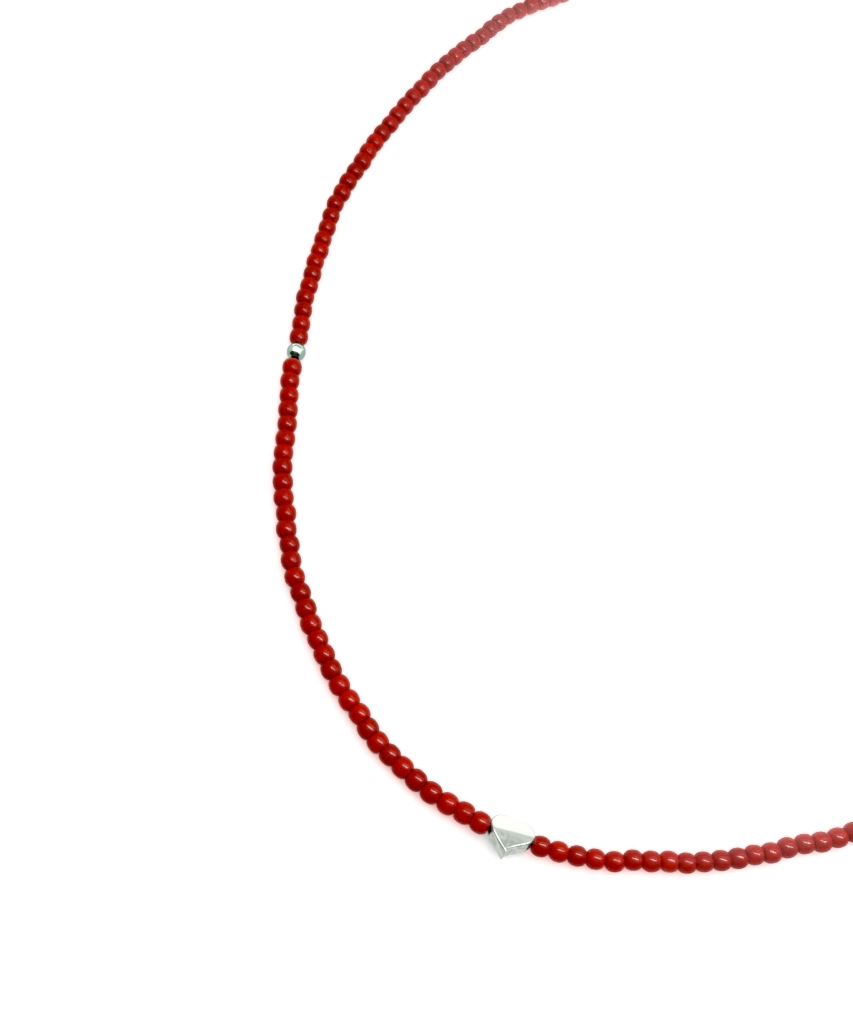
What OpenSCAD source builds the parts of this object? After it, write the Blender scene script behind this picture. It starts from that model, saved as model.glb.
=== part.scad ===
// Heart necklace: small glass beads strung in one loop, with a heart bead at the front,
// a round metal bead on each side of it and a plain clasp at the back.
// Millimetres. The loop lies on the plane z = 0, with the heart towards -Y.

/* [Glass beads] */
// Diameter of a glass bead across its hole
bead_d = 2.5; // [2.4:0.1:2.7]
// Length of a glass bead along its hole
bead_l = 2.05; // [1.9:0.05:2.1]
// Diameter of the hole through every bead
hole_d = 1.1; // [1:0.05:1.2]
// Least gap between two beads along the thread
bead_gap = 0.17; // [0.16:0.01:0.25]
// How much one bead's diameter differs from the next, as a share
size_spread = 0.04; // [0:0.01:0.04]
// How much one bead's length differs from the next, as a share
length_spread = 0.05; // [0:0.01:0.08]
// How far a bead may sit to one side of the thread's path
sway = 0.2; // [0:0.02:0.2]

/* [Heart bead] */
// Width of the heart along the thread
heart_w = 5.7; // [5.4:0.1:6.2]
// Height of the heart from its lobes to its tip
heart_h = 5.2; // [4.8:0.1:5.6]
// Thickness of the heart
heart_t = 2.1; // [2:0.1:2.4]
// Radius of the heart's rounded edges
heart_round = 0.2; // [0.1:0.05:0.3]
// Angle of the tip's left side to the middle of the heart
tip_left = 44; // [15:1:50]
// Angle of the tip's right side to the middle of the heart
tip_right = 10; // [5:1:50]
// Angle by which the heart leans back, with its tip raised
heart_lean = 27; // [0:1:30]

/* [Round metal beads] */
// Diameter of a round metal bead
ball_d = 2.7; // [2.6:0.1:3]
// Glass beads between the heart and each round metal bead
beads_to_ball = 33; // [20:1:45]

/* [Clasp] */
// Length of the clasp along the thread
clasp_l = 9; // [8:0.5:11]
// Width of the clasp
clasp_w = 4.2; // [3.6:0.1:5]
// Depth of the blind hole in each end of the clasp
clasp_hole_l = 2.5; // [2:0.5:3]

/* [Thread] */
// Diameter of the thread
thread_d = 0.3; // [0.25:0.05:0.35]
// Rings along the thread
thread_rings = 80; // [70:1:80]

/* [Hidden] */

$fn = 48;

glass_red = [0.65, 0.04, 0.02];
silver = [0.84, 0.86, 0.84];
thread_black = [0.1, 0.05, 0.05];

// Stations of the thread's path seen from above, in mm and anticlockwise from the heart.
// Columns: x, y
stations = [
    [-0.1, -0.5], [9, 0.5], [18, 3.5], [27, 7.5], [35, 12.5],
    [42, 17.5], [48.5, 25.5], [52.5, 35.5], [54.5, 47], [56, 60],
    [56.5, 73], [56, 86], [54.5, 99], [51.5, 112], [47, 124],
    [41.5, 135], [34, 145], [24.5, 153], [13.5, 158], [1, 158],
    [-11.5, 153.5], [-23.5, 146], [-34, 136.5], [-42.5, 127], [-46.5, 119],
    [-50, 110], [-52.5, 101], [-54.5, 90.5], [-55.5, 80.5], [-55, 70.5],
    [-53.5, 61.5], [-51, 51], [-48, 41.5], [-44.5, 32], [-39.5, 23],
    [-33.5, 15.5], [-26, 8.5], [-18, 3.5], [-9, 0.5]
];

// The stations joined by a smooth closed curve, with its length measured along it
curve_steps = 10;
function wrapped(i) = stations[(i + len(stations)) % len(stations)];
function curve_point(a, b, c, d, t) =
    b + t / 2 * ((c - a) + t * ((2 * a - 5 * b + 4 * c - d) + t * (3 * b - a - 3 * c + d)));
path = [
    for (i = [0:len(stations) - 1])
        for (k = [0:curve_steps - 1])
            curve_point(wrapped(i - 1), wrapped(i), wrapped(i + 1), wrapped(i + 2), k / curve_steps),
    stations[0]
];
last_point = len(path) - 1;
arc = [
    for (i = 0, run = 0;
         i <= last_point;
         run = run + norm(path[min(i + 1, last_point)] - path[i]), i = i + 1)
        run
];
loop_l = arc[last_point];
path_x = [for (i = [0:last_point]) [arc[i], path[i][0]]];
path_y = [for (i = [0:last_point]) [arc[i], path[i][1]]];

// The heart's outline about its hole: on each side an arc round the lobe, from the notch to
// just below its widest point, and then a curve to the tip, which the tip's angle hollows
lobe_share = 0.29;
drop_share = 0.4;
lobe_r = heart_w * lobe_share;
lobe_x = heart_w / 2 - lobe_r;
hole_drop = lobe_r * drop_share;
heart_down = heart_h - lobe_r - hole_drop;
notch_angle = 180 - acos(lobe_x / lobe_r);
lobe_end = -20;
lobe_steps = 16;
side_steps = 10;
side_pull = 0.3;

function lobe_point(a) = [lobe_x, hole_drop] + lobe_r * [cos(a), sin(a)];
function side_point(a, b, c, d, u) =
    pow(1 - u, 3) * a + 3 * pow(1 - u, 2) * u * b + 3 * (1 - u) * pow(u, 2) * c + pow(u, 3) * d;
function half_outline(tip_angle) =
    let (top = lobe_point(lobe_end), tip = [0, -heart_down], pull = side_pull * norm(top - tip))
    [
        for (i = [0:lobe_steps])
            lobe_point(notch_angle + (lobe_end - notch_angle) * i / lobe_steps),
        for (i = [1:side_steps])
            side_point(
                top,
                top + pull * [sin(lobe_end), -cos(lobe_end)],
                tip + pull * [sin(tip_angle), cos(tip_angle)],
                tip,
                i / side_steps
            )
    ];
right_half = half_outline(tip_right);
left_half = half_outline(tip_left);
heart_outline = concat(
    right_half,
    [for (i = [len(left_half) - 2:-1:1]) [-left_half[i][0], left_half[i][1]]]
);

// The heart is a stack of these outlines from its lower face to its upper one. Each is drawn
// in towards the heart's middle by its inset, which rounds the edges of both faces.
edge_steps = 3;
heart_middle = [0, (lobe_r + hole_drop - heart_down) / 2];
function heart_ring(inset, z) = [
    for (p = heart_outline)
        let (q = heart_middle + (p - heart_middle) * (1 - 2 * inset / heart_w))
        [q[0], q[1], z]
];
heart_rings = [
    for (i = [0:edge_steps])
        let (a = 90 * i / edge_steps)
        heart_ring(heart_round * (1 - sin(a)), heart_round * (1 - cos(a)) - heart_t / 2),
    for (i = [edge_steps:-1:0])
        let (a = 90 * i / edge_steps)
        heart_ring(heart_round * (1 - sin(a)), heart_t / 2 - heart_round * (1 - cos(a)))
];
heart_points = [for (ring = heart_rings) each ring];

// Heights above the surface: it carries every bead, and the heart's lobes
bead_r = bead_d / 2;
heart_z = max([for (p = heart_points) p[1] * sin(heart_lean) - p[2] * cos(heart_lean)]);
lift_reach = 6;
function lift(s) = (heart_z - bead_r) * exp(-pow(s / lift_reach, 2));

// The origin is under the middle of the loop's own box
heart_front = min([for (p = heart_points) p[1] * cos(heart_lean) + p[2] * sin(heart_lean)]);
mid_x = (min([for (p = path) p[0]]) + max([for (p = path) p[0]])) / 2;
front_y = stations[0][1] + heart_front;
back_y = max([for (p = path) p[1]]) + clasp_w / 2;
mid_y = (front_y + back_y) / 2;

// Place on the path at a distance from the heart: plus is towards +X, minus towards -X
step = 0.5;
function along(s) = s < 0 ? s + loop_l : s;
function at(s) = [
    lookup(along(s), path_x) - mid_x,
    lookup(along(s), path_y) - mid_y,
    bead_r + lift(s)
];
function direction(s) = let (v = at(s + step) - at(s - step)) v / norm(v);
function heading(v) = atan2(v[1], v[0]);
function climb(v) = asin(v[2]);
function beside(v) = [-v[1], v[0], 0] / norm([v[0], v[1]]);

// Room for glass beads on one side, from the heart to the clasp
heart_reach = heart_w / 2;
ball_l = sqrt(pow(ball_d, 2) - pow(hole_d, 2));
side_room = (loop_l - clasp_l) / 2 - heart_reach - ball_l;
bead_count = floor((side_room - 2 * bead_gap) / (bead_l + bead_gap));
gap = (side_room - bead_count * bead_l) / (bead_count + 2);

// Small differences from bead to bead, the same each time; lengths keep their mean
left_seed = 33;
right_seed = 31;
turn_spread = 1.5;
function spread(amount, seed) = rands(-amount, amount, bead_count, seed);
function mean(list) = [for (i = list) 1] * list / len(list);
function bead_lengths(seed) =
    let (raw = spread(length_spread, seed), m = mean(raw))
    [for (r = raw) bead_l * (1 + r - m)];

// Distance of each bead's middle from the heart, with room left for the round metal bead
function bead_stops(lengths) = [
    for (i = 0, run = heart_reach + gap;
         i < len(lengths);
         run = run + lengths[i] + gap, i = i + 1)
        run + lengths[i] / 2 + (i < beads_to_ball ? 0 : ball_l + gap)
];
function ball_stop(lengths) =
    bead_stops(lengths)[beads_to_ball] - lengths[beads_to_ball] / 2 - gap - ball_l / 2;

// A bead is a ball cut off square at both ends and drilled
module drilled_bead(d, l) {
    rotate_extrude()
        intersection() {
            circle(d = d);
            translate([hole_d / 2, -l / 2]) square([d / 2, l]);
        }
}

// Sets a bead that is drawn about Z on the path, resting on the surface
module strung(s, d, aside, turn) {
    v = direction(s);
    translate(at(s) + aside * beside(v) + [0, 0, d / 2 - bead_r])
        rotate([0, 90 - climb(v), heading(v) + turn])
            children();
}

module bead_run(side, seed) {
    lengths = bead_lengths(seed);
    stops = bead_stops(lengths);
    sizes = spread(size_spread, seed + 1);
    asides = spread(sway, seed + 2);
    turns = spread(turn_spread, seed + 3);
    for (i = [0:bead_count - 1]) {
        d = bead_d * (1 + sizes[i]);
        strung(side * stops[i], d, asides[i], turns[i]) drilled_bead(d, lengths[i]);
    }
}

module beads_left() {
    color(glass_red) bead_run(-1, left_seed);
}

module beads_right() {
    color(glass_red) bead_run(1, right_seed);
}

module round_bead(side, seed) {
    color(silver)
        strung(side * ball_stop(bead_lengths(seed)), ball_d, 0, 0)
            drilled_bead(ball_d, ball_l);
}

module round_bead_left() {
    round_bead(-1, left_seed);
}

module round_bead_right() {
    round_bead(1, right_seed);
}

// A skin over stacked rings, each of which has the same number of points
module stacked(points, count, rings) {
    top = count * (rings - 1);
    polyhedron(
        points = points,
        faces = [
            [for (k = [count - 1:-1:0]) k],
            [for (k = [0:count - 1]) top + k],
            for (i = [0:rings - 2], k = [0:count - 1])
                let (a = i * count + k, b = i * count + (k + 1) % count)
                [a, b, b + count, a + count]
        ]
    );
}

// The heart leans about its own hole, which runs from side to side
module heart_bead() {
    color(silver)
        translate([at(0)[0], at(0)[1], heart_z])
            rotate([-heart_lean, 0, heading(direction(0))])
                difference() {
                    stacked(heart_points, len(heart_outline), len(heart_rings));
                    rotate([0, 90, 0]) cylinder(d = hole_d, h = heart_w + 1, center = true);
                }
}

// The clasp is one plain tablet with round ends, which takes the thread in a hole at each end
module clasp() {
    from = at(loop_l / 2 - clasp_l / 2);
    to = at(loop_l / 2 + clasp_l / 2);
    straight_l = clasp_l - clasp_w;
    color(silver)
        translate([(from[0] + to[0]) / 2, (from[1] + to[1]) / 2, bead_r])
            rotate([0, 0, heading(to - from)])
                difference() {
                    translate([0, 0, -bead_r])
                        linear_extrude(bead_d) {
                            square([straight_l, clasp_w], center = true);
                            for (end = [-1, 1])
                                translate([end * straight_l / 2, 0]) circle(d = clasp_w);
                        }
                    for (end = [-1, 1])
                        translate([end * (clasp_l / 2 - clasp_hole_l), 0, 0])
                            rotate([0, end * 90, 0])
                                cylinder(d = hole_d, h = clasp_hole_l + 1);
                }
}

// The thread runs through every bead, and ends short of the floor of each hole in the clasp
thread_sides = 8;
thread_clearance = 1;
thread_end = loop_l / 2 - clasp_l / 2 + clasp_hole_l - thread_clearance;

function thread_ring(s) =
    let (v = direction(s), up = cross(v, beside(v)))
    [for (k = [0:thread_sides - 1])
        let (a = 360 * k / thread_sides)
        at(s) + thread_d / 2 * (sin(a) * beside(v) + cos(a) * up)];

module thread() {
    stops = [for (i = [0:thread_rings - 1]) thread_end * (2 * i / (thread_rings - 1) - 1)];
    color(thread_black)
        stacked([for (s = stops) each thread_ring(s)], thread_sides, thread_rings);
}

beads_left();
beads_right();
round_bead_left();
round_bead_right();
heart_bead();
clasp();
thread();
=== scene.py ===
"""Looks of the heart necklace: its glass and silver beads, clasp and thread, with the stage and camera.

Everything is in metres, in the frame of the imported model. The necklace lies on the plane z = 0.
"""

import math
from collections import namedtuple

import bmesh
import bpy
import numpy as np
from bpy.props import FloatProperty, FloatVectorProperty, IntProperty, PointerProperty
from mathutils import Matrix, Vector


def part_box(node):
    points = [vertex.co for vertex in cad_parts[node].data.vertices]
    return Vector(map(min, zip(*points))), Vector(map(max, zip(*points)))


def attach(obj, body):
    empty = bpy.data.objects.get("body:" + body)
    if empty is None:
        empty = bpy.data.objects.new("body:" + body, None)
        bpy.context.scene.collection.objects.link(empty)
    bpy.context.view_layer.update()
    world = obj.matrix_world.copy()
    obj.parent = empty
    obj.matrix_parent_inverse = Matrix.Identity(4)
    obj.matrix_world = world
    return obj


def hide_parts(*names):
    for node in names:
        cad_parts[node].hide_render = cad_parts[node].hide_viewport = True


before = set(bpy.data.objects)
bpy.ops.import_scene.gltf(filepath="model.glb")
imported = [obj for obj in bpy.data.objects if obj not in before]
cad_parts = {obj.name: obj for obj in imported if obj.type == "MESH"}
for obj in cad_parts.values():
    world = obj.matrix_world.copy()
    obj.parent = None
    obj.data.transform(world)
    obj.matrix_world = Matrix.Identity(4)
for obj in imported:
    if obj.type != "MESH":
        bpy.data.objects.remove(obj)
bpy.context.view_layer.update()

bl_info = {
    "name": "Heart Necklace",
    "version": (1, 0, 0),
    "blender": (4, 5, 0),
    "location": "3D View > Sidebar > Necklace",
    "description": "Strings glass and silver beads on the packed heart necklace and lights it",
    "category": "Add Mesh",
}

BODY = "root"
MM = 0.001
ACROSS = Vector((1, 0, 0))
UP = Vector((0, 0, 1))
WHITE = (1.0, 1.0, 1.0)
DISPLAY_GAMMA = 2.2


class BeadSettings(bpy.types.PropertyGroup):
    """Sizes and colours of the glass beads"""

    spare_gap: FloatProperty(
        name="Gap", description="Gap left between two neighbouring beads",
        default=0.006 * MM, min=0, unit="LENGTH")
    hole_radius: FloatProperty(
        name="Hole", description="Radius of the hole that shows at a bead's end",
        default=0.35 * MM, min=0.25 * MM, unit="LENGTH")
    fullness: FloatProperty(
        name="Fullness", description="2 is a round bead, and more is a fuller, squarer one",
        default=2.3, min=2, max=6)
    swell: FloatProperty(
        name="Swell", description="Width of a glass bead against its plain solid",
        default=1.04, min=1, max=1.06)
    uneven: FloatProperty(
        name="Uneven", description="How much the widths of the beads differ",
        default=0.02, min=0, max=0.05, subtype="FACTOR")
    length_spread: FloatProperty(
        name="Length spread", description="How much the lengths of the beads differ",
        default=0.08, min=0, max=0.12, subtype="FACTOR")
    dent: FloatProperty(
        name="Dent", description="How far the glass strays from a true round",
        default=0.012 * MM, min=0, unit="LENGTH")
    stray: FloatProperty(
        name="Stray", description="How far a bead may sit off the line of the thread",
        default=0.12 * MM, min=0, unit="LENGTH")
    tilt: FloatProperty(
        name="Tilt", description="How far a bead may tip on the thread",
        default=math.radians(5), min=0, subtype="ANGLE")
    tuck: FloatProperty(
        name="Tuck", description="How far the beads beside the heart tuck in against it",
        default=0.15 * MM, min=0, unit="LENGTH")
    slack: FloatProperty(
        name="Slack", description="Bare thread between a round bead and the glass bead before it",
        default=0.35 * MM, min=0, unit="LENGTH")
    deep_red: FloatVectorProperty(
        name="Deep red", description="Colour of the darkest beads",
        default=(0.285, 0.0065, 0.0018), subtype="COLOR", min=0, max=1)
    bright_red: FloatVectorProperty(
        name="Bright red", description="Colour of the brightest beads",
        default=(0.43, 0.009, 0.0025), subtype="COLOR", min=0, max=1)
    cast_red: FloatVectorProperty(
        name="Cast red", description="Colour of the light that one wall of the glass lets through",
        default=(0.84, 0.22, 0.08), subtype="COLOR", min=0, max=1)
    clearness: FloatProperty(
        name="Clearness", description="Share of the light that passes through the glass",
        default=0.3, min=0, max=1, subtype="FACTOR")
    gloss: FloatProperty(
        name="Gloss", description="How strongly the glass mirrors the room",
        default=1.0, min=0, max=1, subtype="FACTOR")
    glow_depth: FloatProperty(
        name="Glow depth", description="How far red light spreads inside the glass",
        default=1.5 * MM, min=0, unit="LENGTH")


class HeartSettings(bpy.types.PropertyGroup):
    """Sizes and colours of the silver heart and round beads"""

    width: FloatProperty(
        name="Width", description="Width of the heart along the thread",
        default=5.7 * MM, unit="LENGTH")
    height: FloatProperty(
        name="Height", description="Height of the heart from its lobes to its tip",
        default=5.2 * MM, unit="LENGTH")
    thickness: FloatProperty(
        name="Thickness", description="Thickness of the heart",
        default=2.1 * MM, unit="LENGTH")
    edge_radius: FloatProperty(
        name="Edge radius", description="Radius of the heart's rounded edges",
        default=0.26 * MM, unit="LENGTH")
    hole_radius: FloatProperty(
        name="Hole", description="Radius of the hole through the heart",
        default=0.55 * MM, unit="LENGTH")
    tip_left: FloatProperty(
        name="Tip left", description="Angle of the tip's left side to the middle of the heart",
        default=math.radians(44), subtype="ANGLE")
    tip_right: FloatProperty(
        name="Tip right", description="Angle of the tip's right side to the middle of the heart",
        default=math.radians(10), subtype="ANGLE")
    tip_shift: FloatProperty(
        name="Tip shift", description="How far the tip lies left of the heart's middle",
        default=0.2 * MM, unit="LENGTH")
    lean: FloatProperty(
        name="Lean", description="Angle by which the heart leans back, with its tip raised",
        default=math.radians(27), subtype="ANGLE")
    silver: FloatVectorProperty(
        name="Silver", description="Colour of the heart and the clasp",
        default=(0.78, 0.84, 0.77), subtype="COLOR", min=0, max=1)
    bright_silver: FloatVectorProperty(
        name="Polished silver", description="Colour of the round beads",
        default=(0.48, 0.66, 0.56), subtype="COLOR", min=0, max=1)


class StageSettings(bpy.types.PropertyGroup):
    """Floor, room, camera and picture"""

    floor_size: FloatProperty(
        name="Floor", description="Side of the square floor", default=3.0, unit="LENGTH")
    floor_white: FloatProperty(
        name="Floor white", description="How white the floor is", default=0.9, min=0, max=1)
    mirrored_white: FloatProperty(
        name="Mirrored white", description="How white the floor is in what the necklace mirrors",
        default=0.08, min=0, max=1)
    sky_strength: FloatProperty(
        name="Room light", description="Strength of the light from the room", default=0.88, min=0)
    camera_place: FloatVectorProperty(
        name="Camera", description="Where the camera stands",
        default=(-15.97 * MM, -95.93 * MM, 133.25 * MM), subtype="TRANSLATION", unit="LENGTH")
    camera_pitch: FloatProperty(
        name="Pitch", description="How far the camera looks down from the horizon",
        default=math.radians(68), subtype="ANGLE")
    camera_yaw: FloatProperty(
        name="Yaw", description="How far the camera turns from +Y towards -X",
        default=math.radians(10), subtype="ANGLE")
    camera_roll: FloatProperty(
        name="Roll", description="How far the camera rolls anticlockwise",
        default=math.radians(12), subtype="ANGLE")
    lens: FloatProperty(
        name="Lens", description="Focal length for a frame whose long side is 36 mm",
        default=36.91, unit="CAMERA")
    slant: FloatProperty(
        name="Slant", description="How far the strip lamps slant down to the right in the picture",
        default=math.radians(27), subtype="ANGLE")
    haze_level: FloatProperty(
        name="Haze level", description="Light level above which the picture glows",
        default=1.3, min=0)
    haze_limit: FloatProperty(
        name="Haze limit", description="Light level above which the picture glows no more",
        default=2.6, min=0)
    haze: FloatProperty(
        name="Haze", description="Strength of that glow", default=1.0, min=0, max=1)
    haze_size: FloatProperty(
        name="Haze size", description="Reach of that glow", default=0.5, min=0, max=1)
    black_level: FloatProperty(
        name="Black level", description="Light level that the picture shows as black",
        default=0.012, min=0, max=1)
    white_level: FloatProperty(
        name="White level", description="Light level that the picture shows as white",
        default=0.7, min=0)
    softness: IntProperty(
        name="Softness", description="Reach in pixels of the picture's slight softness",
        default=1, min=0, max=6, subtype="PIXEL")
    colour_spread: IntProperty(
        name="Colour spread", description="Reach in pixels over which the picture's colours run",
        default=4, min=0, max=12, subtype="PIXEL")
    colour_run: FloatProperty(
        name="Colour run", description="Share of the picture's colour that runs",
        default=0.8, min=0, max=1, subtype="FACTOR")


def arithmetic(operation):
    """An operator on Value and its reflected form, as one kind of Math node."""
    def plain(self, other):
        return self.math_node(operation, self, other)

    def reflected(self, other):
        return self.math_node(operation, other, self)

    return plain, reflected


class Value:
    """A node's output. Arithmetic on it adds Math nodes to the tree that it belongs to."""

    def __init__(self, paint, socket):
        self.paint = paint
        self.socket = socket

    def math_node(self, operation, *values):
        return self.paint.node("ShaderNodeMath", {"operation": operation}, dict(enumerate(values)))

    __add__, __radd__ = arithmetic("ADD")
    __sub__, __rsub__ = arithmetic("SUBTRACT")
    __mul__, __rmul__ = arithmetic("MULTIPLY")
    __truediv__, __rtruediv__ = arithmetic("DIVIDE")

    def __neg__(self):
        return self * -1

    def __abs__(self):
        return self.math_node("ABSOLUTE", self)


class Paint:
    """Adds nodes to the tree of a material, the room or the picture."""

    def __init__(self, owner):
        owner.use_nodes = True
        self.tree = owner.node_tree
        self.tree.nodes.clear()

    def node(self, kind, settings=None, inputs=None, output=0):
        """Adds a node, sets it, feeds its sockets with values or links and returns one output."""
        node = self.tree.nodes.new(kind)
        for name, value in (settings or {}).items():
            setattr(node, name, value)
        for name, value in (inputs or {}).items():
            if isinstance(value, Value):
                self.tree.links.new(value.socket, node.inputs[name])
            else:
                node.inputs[name].default_value = value
        return Value(self, node.outputs[output]) if len(node.outputs) else None

    def place(self):
        """The point on the surface, in the row frame, in millimetres."""
        point = self.node("ShaderNodeTexCoord", output="Object")
        return self.node(
            "ShaderNodeVectorMath", {"operation": "SCALE"}, {0: point, "Scale": 1 / MM})

    def split(self, vector):
        """The x, y and z of a vector."""
        return [
            self.node("ShaderNodeSeparateXYZ", inputs={"Vector": vector}, output=i)
            for i in range(3)]

    def noise(self, place, scale, detail, roughness=0.5):
        """Smooth noise about 0.5, with its features 1 / scale millimetres across."""
        return self.node(
            "ShaderNodeTexNoise",
            inputs={"Vector": place, "Scale": scale, "Detail": detail, "Roughness": roughness})

    def stretched(self, place, turn, stretch):
        """The place turned about Z and stretched, for marks that run one way."""
        return self.node(
            "ShaderNodeMapping",
            inputs={"Vector": place, "Rotation": (0, 0, turn), "Scale": stretch})

    def ramp(self, value, low, high):
        """0 below low, 1 above high and smooth between them."""
        return self.node(
            "ShaderNodeMapRange", {"interpolation_type": "SMOOTHSTEP"},
            {"Value": value, "From Min": low, "From Max": high})

    def mix(self, factor, a, b):
        """Colour a where the factor is 0, and colour b where it is 1."""
        return self.node(
            "ShaderNodeMix", {"data_type": "RGBA"}, {"Factor": factor, 6: rgba(a), 7: rgba(b)}, 2)

    def bump(self, height, strength, distance):
        """The normal of a surface whose bumps rise by distance where the height is 1."""
        return self.node(
            "ShaderNodeBump",
            inputs={"Height": height, "Strength": strength, "Distance": distance})

    def ray(self, kind):
        """1 for rays of one kind, such as Glossy, and 0 for the rest."""
        return self.node("ShaderNodeLightPath", output=f"Is {kind} Ray")

    def principled(self, **inputs):
        """A Principled shader. An underscore in a name stands for a space."""
        named = {name.replace("_", " "): value for name, value in inputs.items()}
        return self.node("ShaderNodeBsdfPrincipled", inputs=named)

    def surface(self, shader):
        """Ends a material with a shader."""
        self.node("ShaderNodeOutputMaterial", inputs={"Surface": shader})


def rgba(colour):
    """A colour with its opacity, or the output of a node as it is."""
    return colour if isinstance(colour, Value) or len(colour) == 4 else (*colour, 1)


def grey(level):
    return (level, level, level, 1)


def shaded(colour, share):
    """A colour with only a share of its light."""
    return [part * share for part in colour]


def material(name):
    """A new material, and the paint that fills its nodes."""
    made = bpy.data.materials.new(name)
    return made, Paint(made)


def red_glass(beads):
    """Cloudy red glass. Each bead has a tone of its own, which its mesh carries."""
    made, paint = material("red glass")
    place = paint.place()
    tone = paint.node("ShaderNodeAttribute", {"attribute_name": "tone"}, output="Fac")
    cloud = paint.noise(place, scale=0.9, detail=2)
    tone_share, cloud_share = 0.8, 0.5
    shade = tone * tone_share + (cloud - 0.5) * cloud_share
    dull_specks = paint.ramp(paint.noise(place, scale=9, detail=3), 0.55, 0.8)
    waves = paint.noise(place, scale=1.1, detail=1)
    glass = paint.principled(
        Base_Color=paint.mix(shade, beads.deep_red, beads.bright_red),
        Roughness=0.02 + dull_specks * 0.03,
        IOR=1.5,
        Specular_IOR_Level=beads.gloss,
        Transmission_Weight=beads.clearness,
        Subsurface_Weight=1.0,
        Subsurface_Radius=(1.0, 0.1, 0.06),
        Subsurface_Scale=beads.glow_depth,
        Normal=paint.bump(waves, strength=0.2, distance=0.02 * MM))
    # Light on its way to another surface passes through the walls and turns red
    passed = paint.node("ShaderNodeBsdfTransparent", inputs={"Color": rgba(beads.cast_red)})
    paint.surface(paint.node(
        "ShaderNodeMixShader", inputs={0: paint.ray("Shadow"), 1: glass, 2: passed}))
    return made


def polished_silver(heart):
    """Bright silver with soft dents and a few fine marks."""
    made, paint = material("polished silver")
    place = paint.place()
    marks = paint.noise(paint.stretched(place, turn=0.6, stretch=(2, 14, 6)), scale=1.5, detail=3)
    dents = paint.noise(place, scale=1.6, detail=2)
    paint.surface(paint.principled(
        Base_Color=paint.mix(marks, shaded(heart.bright_silver, 0.95), heart.bright_silver),
        Metallic=1.0,
        Roughness=0.06 + marks * 0.08,
        Normal=paint.bump(dents + marks * 0.2, strength=0.6, distance=0.05 * MM)))
    return made


def satin_silver(heart):
    """Silver that fine scratches have dulled, with dark clouds of painted shade on the front half of
    the heart, for the dimmer room that half mirrors.
    """
    made, paint = material("satin silver")
    place = paint.place()
    scratches, crossed = (
        paint.noise(paint.stretched(place, turn, stretch), scale, detail=4, roughness=0.7)
        for turn, stretch, scale in ((0.35, (1.2, 18, 6), 1.6), (-1.1, (1.5, 15, 5), 1.3)))
    grain = scratches * 0.6 + crossed * 0.4
    # The dark clouds are painted shade for the front half's dimmer reflection; behind the ridge the
    # silver stays plain
    clear = paint.ramp(paint.noise(place, scale=1.2, detail=4), 0.4, 0.6)
    ridge = middle_of("heart_bead").y / MM
    unshaded_behind_ridge = paint.ramp(paint.split(place)[1], ridge - 0.3, ridge + 0.6)
    clear = 1 - (1 - clear) * (1 - unshaded_behind_ridge)
    shade = grain * 0.3 + clear * 0.7
    paint.surface(paint.principled(
        # The darker silver is the painted shade of the clouds, and the scratches' own grain
        Base_Color=paint.mix(shade, shaded(heart.silver, 0.66), heart.silver),
        Metallic=1.0,
        Roughness=0.12 + grain * 0.14,
        Normal=paint.bump(grain * 0.6 + clear, strength=0.5, distance=0.03 * MM)))
    return made


def nylon():
    """Dark thread with a faint twist."""
    made, paint = material("dark nylon")
    twist = paint.noise(paint.place(), scale=6, detail=2)
    paint.surface(paint.principled(
        Base_Color=paint.mix(twist, (0.02, 0.008, 0.008), (0.06, 0.02, 0.02)),
        Roughness=0.5 + twist * 0.2))
    return made


def white_floor(stage):
    """Matt white paper, which is dark in what the necklace mirrors."""
    made, paint = material("white paper")
    fibre = paint.noise(paint.place(), scale=0.05, detail=3)
    paper = paint.mix(fibre, grey(0.985 * stage.floor_white), grey(stage.floor_white))
    paint.surface(paint.principled(
        Base_Color=paint.mix(paint.ray("Glossy"), paper, grey(stage.mirrored_white)),
        Roughness=0.8 + fibre * 0.1,
        Specular_IOR_Level=0.1))
    return made


def add_object(name, data):
    """Puts a mesh, a lamp or a camera in the scene."""
    made = bpy.data.objects.new(name, data)
    bpy.context.scene.collection.objects.link(made)
    return made


def add_piece(name, mesh, slot, finish, *nodes):
    """Makes a piece that stands for CAD nodes, and rides on the necklace's body."""
    piece = add_object(name, mesh)
    mesh.materials.append(finish)
    mesh.shade_smooth()
    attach(piece, BODY)
    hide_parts(*nodes)
    return piece


def finished(name, mesh):
    """Turns an edit mesh into a mesh, and frees it."""
    data = bpy.data.meshes.new(name)
    mesh.to_mesh(data)
    mesh.free()
    return data


def middle_of(node):
    """The middle of a CAD node's box."""
    low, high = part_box(node)
    return (low + high) / 2


def islands(node):
    """The points of each loose solid of a CAD node, as a list of arrays."""
    mesh = bmesh.new()
    mesh.from_mesh(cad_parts[node].data)
    bmesh.ops.remove_doubles(mesh, verts=mesh.verts, dist=0.001 * MM)
    seen = set()
    found = []
    for first in mesh.verts:
        if first in seen:
            continue
        seen.add(first)
        group = [first]
        for vert in group:
            for edge in vert.link_edges:
                other = edge.other_vert(vert)
                if other not in seen:
                    seen.add(other)
                    group.append(other)
        found.append(np.array([vert.co[:] for vert in group]))
    mesh.free()
    return found


Drilled = namedtuple("Drilled", "middle axis radius half_length")


def along_and_out(points, middle, axis):
    """How far along an axis and how far out from it each point lies."""
    offsets = points - middle
    along = offsets @ axis
    return along, np.linalg.norm(offsets - np.outer(along, axis), axis=1)


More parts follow.
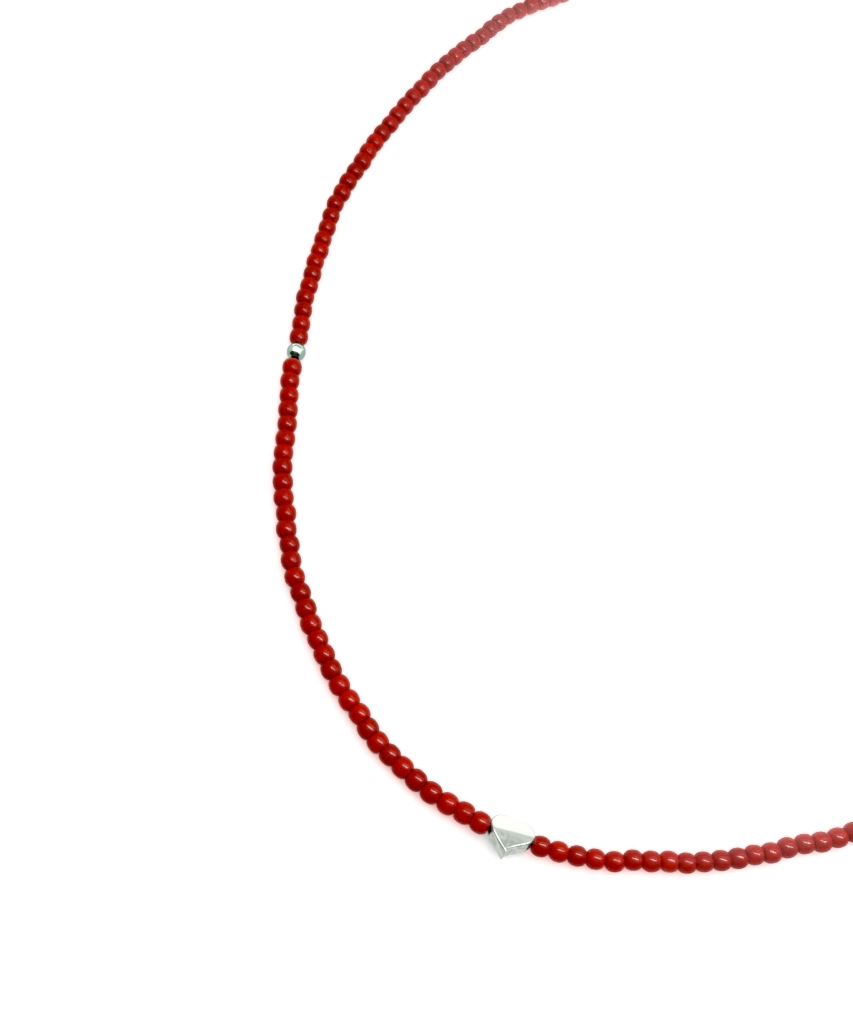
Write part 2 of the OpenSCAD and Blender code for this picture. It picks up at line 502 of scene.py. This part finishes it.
def drilled(points):
    """The measures of a drilled bead, from its solid's points.

    Of the solid's three main directions, the hole's passes farthest from any point. The points
    nearest to it are the rims of the hole.
    """
    middle = (points.min(0) + points.max(0)) / 2
    directions = np.linalg.eigh(np.cov(points.T))[1].T
    axis = max(directions, key=lambda way: along_and_out(points, middle, way)[1].min())
    out = along_and_out(points, middle, axis)[1]
    rims = points[out < 1.15 * out.min()]
    side = (rims - rims.mean(0)) @ axis
    first, last = rims[side < 0].mean(0), rims[side > 0].mean(0)
    axis = (last - first) / np.linalg.norm(last - first)
    middle = (first + last) / 2
    along, out = along_and_out(points, middle, axis)
    return Drilled(Vector(middle), Vector(axis), float(out.max()), float(np.abs(along).max()))


def bead_profile(radius, half_length, hole, steps, fullness=2):
    """Points (along, out) of a ball with flat drilled ends, from one end to the other."""
    edge = radius * (1 - (half_length / radius) ** fullness) ** (1 / fullness)
    start = math.asin((edge / radius) ** (fullness / 2))
    arc = []
    for i in range(steps + 1):
        angle = start + (math.pi - 2 * start) * i / steps
        along = abs(math.cos(angle)) ** (2 / fullness)
        arc.append((
            -math.copysign(radius * along, math.cos(angle)),
            radius * math.sin(angle) ** (2 / fullness)))
    hole_fills_end = edge < 1.01 * hole
    return arc if hole_fills_end else [(-half_length, hole), *arc, (half_length, hole)]


def join_rings(mesh, rings):
    """Adds the faces between rings of points."""
    for lower, upper in zip(rings, rings[1:]):
        for k in range(len(lower)):
            mesh.faces.new((lower[k - 1], lower[k], upper[k], upper[k - 1]))


def lathe(mesh, middle, axis, profile, hole, segments, dent, rng):
    """Adds a drilled bead to an edit mesh, turned about its axis, and returns its points.

    Two waves of random size run round it, and turn by wave_twist radians along a metre of its axis.
    """
    wave_twist = 400
    side = axis.orthogonal().normalized()
    up = axis.cross(side)
    inner, bore = 0.96 * profile[0][0], 0.94 * hole
    widest = profile[len(profile) // 2][1]
    waves = [
        (rng.integers(2, 4), rng.uniform(0, 2 * math.pi), rng.uniform(0.3, 1)) for _ in range(2)]
    rings = []
    for along, out in ((inner, bore), *profile, (-inner, bore)):
        ring = []
        for k in range(segments):
            turn = 2 * math.pi * k / segments
            wave = sum(
                size * math.cos(count * turn + phase + wave_twist * along)
                for count, phase, size in waves)
            reach = out + dent * wave * (out / widest)
            ring.append(mesh.verts.new(
                middle + axis * along + (side * math.cos(turn) + up * math.sin(turn)) * reach))
        rings.append(ring)
    join_rings(mesh, [*rings, rings[0]])
    return [vert for ring in rings for vert in ring]


class NECKLACE_OT_glass_beads(bpy.types.Operator):
    """String the red glass beads on both sides of the heart"""

    bl_idname = "necklace.glass_beads"
    bl_label = "Glass Beads"

    segments = 36
    profile_steps = 18
    seeds = {"beads_left": 5, "beads_right": 8}
    # 1 makes all tones as common, and more makes middling ones commoner
    tone_middling = 2.2

    def execute(self, context):
        beads = context.scene.necklace_beads
        finish = red_glass(beads)
        for node, seed in self.seeds.items():
            mesh = self.string(node, np.random.default_rng(seed), beads)
            add_piece("glass_" + node, mesh, "red_glass", finish, node)
        return {"FINISHED"}

    def string(self, node, rng, beads):
        """One mesh of a string's beads, whose points carry the tone of their bead."""
        solids = [drilled(points) for points in islands(node)]
        solids.sort(key=lambda solid: math.atan2(solid.middle.y, solid.middle.x))
        mesh = bmesh.new()
        tone = mesh.verts.layers.float.new("tone")
        for run in runs(solids):
            for middle, axis, half_length in respaced(run, rng, beads):
                radius = run[0].radius * (beads.swell + beads.uneven * rng.uniform(-1, 1))
                middle += axis.cross(UP).normalized() * beads.stray * rng.uniform(-1, 1)
                middle.z = max(middle.z, radius + 2 * beads.dent)
                profile = bead_profile(
                    radius, half_length, beads.hole_radius, self.profile_steps, beads.fullness)
                tip = Vector(rng.normal(0, math.tan(beads.tilt) / 2, 3))
                made = lathe(
                    mesh, middle, (axis + tip).normalized(), profile, beads.hole_radius,
                    self.segments, beads.dent, rng)
                shade = rng.beta(self.tone_middling, self.tone_middling)
                for vert in made:
                    vert[tone] = shade
        bmesh.ops.recalc_face_normals(mesh, faces=mesh.faces)
        return finished(node, mesh)


def runs(solids):
    """Splits the beads of a string, in order, where another piece sits between two of them."""
    widest_step = 1.4 * (solids[1].middle - solids[0].middle).length
    found = [[solids[0]]]
    for before, solid in zip(solids, solids[1:]):
        if (solid.middle - before.middle).length > widest_step:
            found.append([])
        found[-1].append(solid)
    return found


def respaced(run, rng, beads):
    """Middle, direction and half length of a run's beads, of uneven lengths on the same stretch."""
    path = [solid.middle for solid in run]
    low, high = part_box("heart_bead")
    heart = middle_of("heart_bead")
    at_heart = [(heart - end).length < high.x - low.x for end in (path[0], path[-1])]
    ends = []
    for touches, end, inner in zip(at_heart, (path[0], path[-1]), (path[1], path[-2])):
        reach = (end - inner).length / 2
        if touches:
            reach += beads.tuck
        elif any(at_heart):
            reach -= beads.slack
        ends.append(end + (end - inner).normalized() * reach)
    path = np.array([ends[0], *path, ends[1]])
    along = np.append(0, np.linalg.norm(np.diff(path, axis=0), axis=1).cumsum())
    lengths = 1 + beads.length_spread * rng.uniform(-1, 1, len(run))
    stops = np.append(0, lengths.cumsum()) * along[-1] / lengths.sum()
    points = [Vector([np.interp(stop, along, path[:, k]) for k in range(3)]) for stop in stops]
    for start, end in zip(points, points[1:]):
        step = end - start
        yield (start + end) / 2, step.normalized(), (step.length - beads.spare_gap) / 2


def heart_outline(heart):
    """Points of the heart's outline about its hole, clockwise from the notch.

    Each side is the arc of a lobe, and a curve from the lobe's end to the tip.
    """
    lobe_radius = 0.29 * heart.width
    lobe_x = heart.width / 2 - lobe_radius
    lobe_y = 0.4 * lobe_radius
    tip_depth = heart.height - lobe_radius - lobe_y
    notch = math.pi - math.acos(lobe_x / lobe_radius)
    lobe_end = math.radians(-20)
    lobe_steps, side_steps = 32, 20
    bulge = 0.3

    def half(tip_angle, tip_x):
        points = []
        for i in range(lobe_steps + 1):
            a = notch + (lobe_end - notch) * i / lobe_steps
            points.append(
                Vector((lobe_x + lobe_radius * math.cos(a), lobe_y + lobe_radius * math.sin(a))))
        top, tip = points[-1], Vector((tip_x, -tip_depth))
        pull = bulge * (top - tip).length
        below_top = top + pull * Vector((math.sin(lobe_end), -math.cos(lobe_end)))
        above_tip = tip + pull * Vector((math.sin(tip_angle), math.cos(tip_angle)))
        for i in range(1, side_steps + 1):
            u = i / side_steps
            points.append(
                (1 - u) ** 3 * top + 3 * (1 - u) ** 2 * u * below_top
                + 3 * (1 - u) * u * u * above_tip + u ** 3 * tip)
        return points

    right = half(heart.tip_right, -heart.tip_shift)
    left = half(heart.tip_left, heart.tip_shift)
    return right + [Vector((-p.x, p.y)) for p in reversed(left[1:-1])]


def rounded_rings(thickness, edge, half_width, steps=5):
    """Rings of a plate with rounded edges, as (scale, z) from its lower face to its upper one."""
    quarter = [math.pi / 2 * i / steps for i in range(steps + 1)]
    low = [
        (1 - edge * (1 - math.sin(a)) / half_width, edge * (1 - math.cos(a)) - thickness / 2)
        for a in quarter]
    return low + [(scale, -z) for scale, z in reversed(low)]


def cushion(outline, rings, centre_steps, lift=lambda x, y, z: 0.0):
    """An edit mesh of an outline's copies at each ring's (scale, z), closed by smaller copies.

    lift(x, y, z) is how far a point of it is raised.
    """
    mesh = bmesh.new()
    middle = sum(outline, Vector((0, 0))) / len(outline)
    inner = [i / centre_steps for i in range(1, centre_steps)]
    (first_scale, first_z), (last_scale, last_z) = rings[0], rings[-1]
    levels = [(first_scale * k, first_z) for k in inner]
    levels += rings
    levels += [(last_scale * k, last_z) for k in reversed(inner)]

    def vert(x, y, z):
        return mesh.verts.new((x, y, z + lift(x, y, z)))

    rows = []
    for scale, z in levels:
        row = [middle + (p - middle) * scale for p in outline]
        rows.append([vert(q.x, q.y, z) for q in row])
    join_rings(mesh, rows)
    for row, z in ((rows[0], first_z), (rows[-1], last_z)):
        hub = vert(middle.x, middle.y, z)
        for k in range(len(row)):
            mesh.faces.new((row[k - 1], row[k], hub))
    bmesh.ops.recalc_face_normals(mesh, faces=mesh.faces)
    return mesh


def drill(middle, axis, radius, length, segments=48):
    """A closed cylinder about a point, to cut a hole with."""
    mesh = bmesh.new()
    bmesh.ops.create_cone(
        mesh, cap_ends=True, segments=segments, radius1=radius, radius2=radius, depth=length)
    turn = UP.rotation_difference(axis).to_matrix().to_4x4()
    mesh.transform(Matrix.Translation(middle) @ turn)
    return add_object("drill", finished("drill", mesh))


def cut_holes(piece, drills):
    """Cuts the shapes of drills out of a piece for good, and removes them."""
    for cutter in drills:
        change = piece.modifiers.new("hole", "BOOLEAN")
        change.operation = "DIFFERENCE"
        change.solver = "EXACT"
        change.object = cutter
        with bpy.context.temp_override(object=piece, active_object=piece):
            bpy.ops.object.modifier_apply(modifier=change.name)
        bpy.data.objects.remove(cutter)


class NECKLACE_OT_heart_bead(bpy.types.Operator):
    """Make the silver heart, with soft edges and a faint ridge across its faces"""

    bl_idname = "necklace.heart_bead"
    bl_label = "Heart Bead"

    ridge_y = 0.1 * MM
    ridge_slant = 0.16
    ridge_fall = 0.15

    def execute(self, context):
        heart = context.scene.necklace_heart
        outline = heart_outline(heart)
        rings = rounded_rings(heart.thickness, heart.edge_radius, heart.width / 2)

        def lift(x, y, z):
            past_ridge = max(0.0, y - self.ridge_y - self.ridge_slant * x)
            return -math.copysign(past_ridge * self.ridge_fall, z)

        mesh = cushion(outline, rings, centre_steps=10, lift=lift)
        hole = self.hole_place(heart.lean, outline, rings)
        mesh.transform(Matrix.Translation(hole) @ Matrix.Rotation(-heart.lean, 4, "X"))
        piece = add_piece(
            "silver_heart", finished("heart", mesh), "satin_silver", satin_silver(heart), "heart_bead")
        cut_holes(piece, [drill(hole, ACROSS, heart.hole_radius, length=1.2 * heart.width)])
        return {"FINISHED"}

    @staticmethod
    def hole_place(lean, outline, rings):
        """The hole's place once the heart leans, rests on the floor and starts where its solid does."""
        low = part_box("heart_bead")[0]
        sin, cos = math.sin(lean), math.cos(lean)
        corners = [(p.y * scale, z) for p in outline for scale, z in rings]
        hole_z = max(y * sin - z * cos for y, z in corners) + low.z
        hole_y = low.y - min(y * cos + z * sin for y, z in corners)
        return Vector((middle_of("heart_bead").x, hole_y, hole_z))


class NECKLACE_OT_round_beads(bpy.types.Operator):
    """Make the round silver beads, each tipped and a little inside the line of the thread"""

    bl_idname = "necklace.round_beads"
    bl_label = "Round Beads"

    nodes = ("round_bead_left", "round_bead_right")
    segments = 64
    profile_steps = 40
    dent = 0.004 * MM
    tip = math.radians(11)
    inset = 0.2 * MM
    seed = 3

    def execute(self, context):
        finish = polished_silver(context.scene.necklace_heart)
        rng = np.random.default_rng(self.seed)
        for node in self.nodes:
            middle, axis, radius, half_length = drilled(islands(node)[0])
            middle.x -= math.copysign(self.inset, middle.x)
            axis = -axis if axis.y > 0 else axis
            axis = (axis + Vector((0, 0, math.tan(self.tip)))).normalized()
            hole = math.sqrt(radius ** 2 - half_length ** 2)
            profile = bead_profile(radius, half_length, hole, self.profile_steps)
            mesh = bmesh.new()
            lathe(mesh, middle, axis, profile, hole, self.segments, self.dent, rng)
            bmesh.ops.recalc_face_normals(mesh, faces=mesh.faces)
            add_piece("silver_" + node, finished(node, mesh), "polished_silver", finish, node)
        return {"FINISHED"}


class NECKLACE_OT_clasp(bpy.types.Operator):
    """Make the plain silver clasp, with soft edges"""

    bl_idname = "necklace.clasp"
    bl_label = "Clasp"

    edge = 0.35 * MM
    end_steps = 24
    hole_radius = 0.55 * MM
    hole_depth = 2.5 * MM

    def execute(self, context):
        solid = islands("clasp")[0]
        low, high = solid.min(0), solid.max(0)
        top_face = solid[solid[:, 2] > high[2] - 0.01 * MM][:, :2]
        middle = (top_face.min(0) + top_face.max(0)) / 2
        axis = np.linalg.eigh(np.cov(top_face.T))[1][:, -1]
        turn = math.atan2(axis[1], axis[0])
        length = np.ptp((top_face - middle) @ axis)
        width = np.ptp((top_face - middle) @ np.array([-axis[1], axis[0]]))
        rings = rounded_rings(high[2] - low[2], self.edge, width / 2)
        mesh = cushion(self.outline(length, width), rings, centre_steps=6)
        centre = Vector((middle[0], middle[1], (low[2] + high[2]) / 2))
        mesh.transform(Matrix.Translation(centre) @ Matrix.Rotation(turn, 4, "Z"))
        finish = satin_silver(context.scene.necklace_heart)
        piece = add_piece("silver_clasp", finished("clasp", mesh), "clasp_silver", finish, "clasp")
        way = Vector((math.cos(turn), math.sin(turn), 0))
        cut_holes(piece, [
            drill(centre + way * side * length / 2, way, self.hole_radius, 2 * self.hole_depth)
            for side in (-1, 1)])
        return {"FINISHED"}

    def outline(self, length, width):
        """A bar with half round ends."""
        points = []
        for side in (1, -1):
            for i in range(self.end_steps + 1):
                a = math.pi / 2 - math.pi * i / self.end_steps
                x = side * ((length - width) / 2 + width / 2 * math.cos(a))
                points.append(Vector((x, side * width / 2 * math.sin(a))))
        return points


class NECKLACE_OT_thread(bpy.types.Operator):
    """Give the thread its dark finish"""

    bl_idname = "necklace.thread"
    bl_label = "Thread"

    def execute(self, context):
        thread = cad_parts["thread"]
        thread.data.materials.clear()
        thread.data.materials.append(nylon())
        return {"FINISHED"}


def camera_axes(stage):
    """Right, up and forward of the camera, in the row frame."""
    turn = Matrix.Rotation(stage.camera_yaw, 3, "Z")
    pitch = stage.camera_pitch
    forward = turn @ Vector((0, math.cos(pitch), -math.sin(pitch)))
    level = turn @ ACROSS
    lift = turn @ Vector((0, math.sin(pitch), math.cos(pitch)))
    c, s = math.cos(stage.camera_roll), math.sin(stage.camera_roll)
    return c * level + s * lift, -s * level + c * lift, forward


class NECKLACE_OT_camera(bpy.types.Operator):
    """Set the camera above the front of the necklace"""

    bl_idname = "necklace.camera"
    bl_label = "Camera"

    def execute(self, context):
        stage = context.scene.necklace_stage
        right, up, forward = camera_axes(stage)
        data = bpy.data.cameras.new("camera")
        data.sensor_width = 36
        data.lens = stage.lens
        data.clip_start = 5 * MM
        data.clip_end = 20
        camera = add_object("camera", data)
        turn = Matrix((right, up, -forward)).transposed().to_4x4()
        camera.matrix_world = Matrix.Translation(stage.camera_place) @ turn
        context.scene.camera = camera
        return {"FINISHED"}


def lay_floor(stage):
    """The square floor that the necklace lies on."""
    mesh = bmesh.new()
    bmesh.ops.create_grid(mesh, x_segments=4, y_segments=4, size=stage.floor_size / 2)
    floor = add_object("floor", finished("floor", mesh))
    floor.data.materials.append(white_floor(stage))


def light_room(scene, stage):
    """A pale room, bright at its white ceiling and low at the back, and dim and green low at the front.

    Glass and silver mirror a far darker one, and the camera sees plain white.
    """
    room_light, ceiling_light, back_light, front_dimming = 0.9, 0.65, 0.9, 0.85
    mirrored_light, mirrored_dimming = 0.14, 0.75
    pale_green, green = (0.9, 1.0, 0.93), (0.4, 1.0, 0.75)
    world = bpy.data.worlds.new("room")
    scene.world = world
    paint = Paint(world)
    x, y, z = paint.split(paint.node("ShaderNodeTexCoord", output="Generated"))
    ceiling = (
        paint.ramp(z, 0.1, 0.2)
        * (1 - paint.ramp(abs(x) / z, 1.7, 1.9))
        * (1 - paint.ramp(abs(y) / z, 1.15, 1.3)))
    back = paint.ramp(y, 0.2, 0.4) * (1 - paint.ramp(z, 0.27, 0.34))
    front = paint.ramp(-y, 0.15, 0.35) * (1 - paint.ramp(z, 0.62, 0.74))
    soft = (room_light + ceiling * ceiling_light + back * back_light) * (1 - front * front_dimming)
    mirrored = mirrored_light * (1 - front * mirrored_dimming)
    light = soft + (mirrored - soft) * paint.ray("Glossy")
    seen = paint.ray("Camera")
    tint = paint.mix(ceiling, paint.mix(front, pale_green, green), WHITE)
    strength = (light * (1 - seen) + seen) * stage.sky_strength
    shader = paint.node(
        "ShaderNodeBackground",
        inputs={"Color": paint.mix(seen, tint, WHITE), "Strength": strength})
    paint.node("ShaderNodeOutputWorld", inputs={"Surface": shader})


def light_group(name, *pieces):
    """A collection of pieces, for a lamp that shines on nothing else."""
    made = bpy.data.collections.new(name)
    for piece in pieces:
        made.objects.link(bpy.data.objects[piece])
    return made


def add_lamp(name, place, target, along, size, radiance, shines_on=None, mirrored=True, colour=WHITE):
    """A flat lamp that faces a target, with its long side along a direction and its size in mm.

    It has the same radiance all over. A mirrored one only shows in glass and silver, and one that
    isn't mirrored only lights.
    """
    ahead = (target - place).normalized()
    short_side = ahead.cross(along).normalized()
    long_side = short_side.cross(ahead)
    length, width = size[0] * MM, size[1] * MM
    data = bpy.data.lights.new(name, "AREA")
    data.shape = "RECTANGLE"
    data.size = length
    data.size_y = width
    data.energy = radiance * math.pi * length * width
    data.color = colour
    lamp = add_object(name, data)
    turn = Matrix((long_side, -short_side, -ahead)).transposed().to_4x4()
    lamp.matrix_world = Matrix.Translation(place) @ turn
    lamp.visible_camera = False
    lamp.visible_glossy = mirrored
    lamp.visible_diffuse = not mirrored
    lamp.visible_transmission = not mirrored
    if shines_on:
        lamp.light_linking.receiver_collection = shines_on


def mm(x, y, z):
    """A vector given in millimetres."""
    return Vector((x, y, z)) * MM


def by_camera(stage, right, up, ahead):
    """A point so many millimetres to the right of, above and ahead of the camera."""
    across, lift, forward = camera_axes(stage)
    return Vector(stage.camera_place) + MM * (across * right + lift * up + forward * ahead)


def picture_slant(stage):
    """The direction that slants down to the right in the picture."""
    right, up, _ = camera_axes(stage)
    return math.cos(stage.slant) * right - math.sin(stage.slant) * up


def light_necklace(stage, heart):
    """A soft key lamp beside the camera, and two windows over the floor inside the loop.

    The picture's haze glows from the windows' light on the floor.
    """
    slant = picture_slant(stage)
    beside = by_camera(stage, right=110, up=70, ahead=10)
    add_lamp("key", beside, heart, slant, size=(200, 200), radiance=0.58, mirrored=False)
    ground = light_group("ground", "floor")
    for name, x, y, radiance in (("top window", -14, 45, 7.5), ("side window", 30, -40, 4.2)):
        above = mm(x, y, 30)
        add_lamp(
            name, above, above - UP, slant, size=(34, 34), radiance=radiance,
            shines_on=ground, mirrored=False)


def light_glass(stage, middle):
    """The two strips of light that the glass beads mirror."""
    glass = light_group("glass", "glass_beads_left", "glass_beads_right")
    near = by_camera(stage, right=63, up=38, ahead=0)
    far = by_camera(stage, right=132, up=79, ahead=50)
    for name, place, size, radiance in (
            ("strip", near, (180, 18), 12), ("far strip", far, (240, 12), 2)):
        add_lamp(name, place, middle, picture_slant(stage), size, radiance, shines_on=glass)


def light_silver(heart, ball):
    """The boxes overhead, and the cards around and below, that the silver pieces mirror."""
    round_beads = ["silver_" + node for node in NECKLACE_OT_round_beads.nodes]
    silver = light_group("silver", "silver_heart", "silver_clasp", *round_beads)
    shown = light_group("shown silver", "silver_heart", *round_beads)
    clasp = light_group("hidden silver", "silver_clasp")
    balls = light_group("round silver", *round_beads)
    flat = light_group("flat silver", "silver_heart", "silver_clasp")
    for name, height, radiance, pieces in (
            ("soft box", 400, 1.6, shown), ("dim box", 420, 0.45, clasp)):
        over = ball + mm(170, 60, height)
        add_lamp(
            name, over, over - UP, ACROSS, size=(1100, 500), radiance=radiance, shines_on=pieces)
    for name, side in (("left card", -1), ("right card", 1)):
        beside = ball + mm(side * 600, 170, 300)
        add_lamp(
            name, beside, ball + mm(0, 170, 300), Vector((0, 1, 0)), size=(1060, 600),
            radiance=0.5, shines_on=balls)
    behind = Vector((0, ball.y + 85 * MM, 0.04 * MM))
    add_lamp(
        "pale floor", behind, behind + UP, ACROSS, size=(400, 200), radiance=0.36, shines_on=balls)
    for name, height, distance, radiance, colour in (
            ("back wall", 600, 620, 0.37, WHITE), ("back card", 190, 600, 0.54, (1, 0.9, 0.91))):
        aim = heart + mm(0, 0, height / 2)
        add_lamp(
            name, aim + mm(0, distance, 0), aim, ACROSS, size=(1400, height),
            radiance=radiance, shines_on=silver, colour=colour)
    under = Vector((heart.x, heart.y, 0.02 * MM))
    add_lamp(
        "floor card", under, under + UP, ACROSS, size=(400, 400), radiance=0.46, shines_on=flat)


def develop(scene, stage):
    """Makes a bright product photo of the render.

    Haze glows from its brightest spots. The palest tones clip to white and the deepest to black.
    The picture is slightly soft, and its colours run further than its tones do.
    """
    paint = Paint(scene)
    picture = paint.node("CompositorNodeRLayers")
    hazy = paint.node(
        "CompositorNodeGlare", {"glare_type": "FOG_GLOW", "quality": "HIGH"},
        {"Image": picture, "Threshold": stage.haze_level, "Clamp": True,
         "Maximum": stage.haze_limit, "Strength": stage.haze, "Size": stage.haze_size})
    levels = paint.node("CompositorNodeCurveRGB", inputs={
        "Image": hazy, "Black Level": grey(stage.black_level), "White Level": grey(stage.white_level)})
    # This mix is of the levels with themselves, and only clips them
    clipped = paint.node(
        "CompositorNodeMixRGB", {"use_clamp": True}, {0: 0.0, 1: levels, 2: levels})
    tones = paint.node(
        "CompositorNodeGamma", inputs={"Image": clipped, "Gamma": 1 / DISPLAY_GAMMA})
    soft, spread = (
        paint.node(
            "CompositorNodeBlur", {"filter_type": "GAUSS", "size_x": reach, "size_y": reach},
            {"Image": tones})
        for reach in (stage.softness, stage.colour_spread))
    mixed = paint.node(
        "CompositorNodeMixRGB", {"blend_type": "COLOR"}, {0: stage.colour_run, 1: soft, 2: spread})
    light = paint.node("CompositorNodeGamma", inputs={"Image": mixed, "Gamma": DISPLAY_GAMMA})
    paint.node("CompositorNodeComposite", inputs={"Image": light})


class NECKLACE_OT_stage(bpy.types.Operator):
    """Lay the white floor, light the necklace and set up how its picture is developed"""

    bl_idname = "necklace.stage"
    bl_label = "Stage"

    def execute(self, context):
        scene = context.scene
        stage = scene.necklace_stage
        heart, ball = middle_of("heart_bead"), middle_of("round_bead_left")
        lay_floor(stage)
        light_room(scene, stage)
        light_necklace(stage, heart)
        light_glass(stage, (heart + ball) / 2)
        light_silver(heart, ball)
        scene.view_settings.view_transform = "Standard"
        develop(scene, stage)
        return {"FINISHED"}


class NECKLACE_PT_panel(bpy.types.Panel):
    """Lists the settings and the pieces of the necklace"""

    bl_label = "Heart Necklace"
    bl_idname = "NECKLACE_PT_panel"
    bl_space_type = "VIEW_3D"
    bl_region_type = "UI"
    bl_category = "Necklace"

    def draw(self, context):
        for name, settings in GROUPS.items():
            box = self.layout.box()
            for setting in settings.__annotations__:
                box.prop(getattr(context.scene, name), setting)
        for operator in OPERATORS:
            self.layout.operator(operator.bl_idname)


GROUPS = {
    "necklace_beads": BeadSettings,
    "necklace_heart": HeartSettings,
    "necklace_stage": StageSettings,
}
OPERATORS = (
    NECKLACE_OT_camera,
    NECKLACE_OT_glass_beads,
    NECKLACE_OT_heart_bead,
    NECKLACE_OT_round_beads,
    NECKLACE_OT_clasp,
    NECKLACE_OT_thread,
    NECKLACE_OT_stage,
)


def register():
    for settings in GROUPS.values():
        bpy.utils.register_class(settings)
    for name, settings in GROUPS.items():
        setattr(bpy.types.Scene, name, PointerProperty(type=settings))
    for made in (*OPERATORS, NECKLACE_PT_panel):
        bpy.utils.register_class(made)


def unregister():
    for made in (NECKLACE_PT_panel, *reversed(OPERATORS)):
        bpy.utils.unregister_class(made)
    for name, settings in GROUPS.items():
        delattr(bpy.types.Scene, name)
        bpy.utils.unregister_class(settings)


def main():
    register()
    for operator in OPERATORS:
        area, name = operator.bl_idname.split(".")
        getattr(getattr(bpy.ops, area), name)()


if __name__ == "__main__":
    main()
